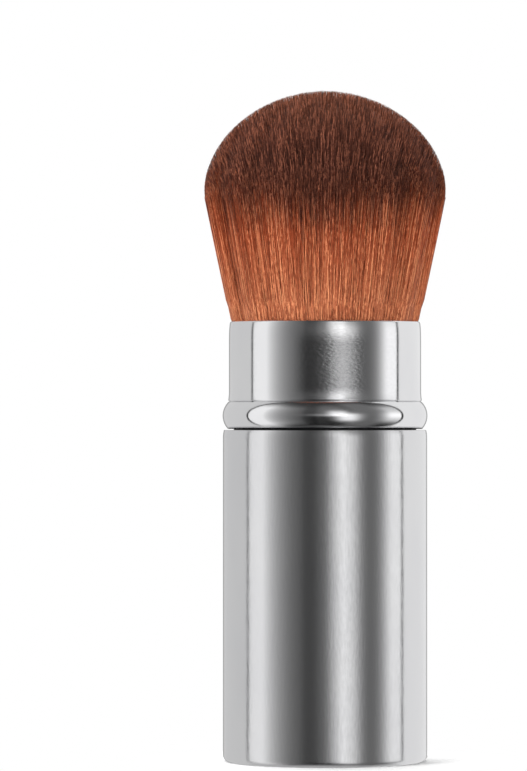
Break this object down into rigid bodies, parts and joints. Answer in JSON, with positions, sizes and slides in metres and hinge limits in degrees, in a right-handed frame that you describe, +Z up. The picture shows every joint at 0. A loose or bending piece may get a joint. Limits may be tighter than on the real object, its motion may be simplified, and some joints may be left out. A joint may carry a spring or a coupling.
{
  "type": "retractable makeup brush",
  "caption": "Pocket face brush whose ringed metal collar slides up out of the barrel to cover and gather its domed head of soft fibres.",
  "frame": {"origin": "centre of the barrel's flat base, on the surface it stands on", "axes": "+Z up along the barrel's axis, towards the bristles; +X and +Y are across the barrel, which is round"},
  "size_m": [0.0397, 0.0395, 0.1117],
  "materials": {
    "satin_aluminium": "drawn and satin anodised, silver",
    "plain_aluminium": "plain drawn tube, crimped",
    "weight_steel": "turned, zinc plated",
    "black_moulding": "moulded ABS, fine matt",
    "stem_moulding": "moulded ABS, natural",
    "acetal": "moulded acetal, low friction",
    "silicone": "soft silicone, matt",
    "epoxy": "cast amber epoxy",
    "brown_fibre": "soft synthetic fibre, chestnut root and dark brown tip"
  },
  "bodies": {
    "handle": {"barrel_shell": "satin_aluminium", "base_weight": "weight_steel", "barrel_liner": "black_moulding", "bumper_ring": "silicone", "mouth_bush": "acetal", "head_stem": "stem_moulding", "stem_washer": "weight_steel", "stem_screw": "weight_steel", "ferrule": "plain_aluminium", "epoxy_plug": "epoxy", "bristle_tuft": "brown_fibre"},
    "collar": {"collar_shell": "satin_aluminium", "slider_tube": "black_moulding", "friction_ring": "silicone"}
  },
  "joints": [
    {"name": "collar_slide", "type": "slide", "parent": "handle", "child": "collar", "axis": [0, 0, 1], "range_m": [0, 0.039], "deforming": ["bristle_tuft"]}
  ]
}
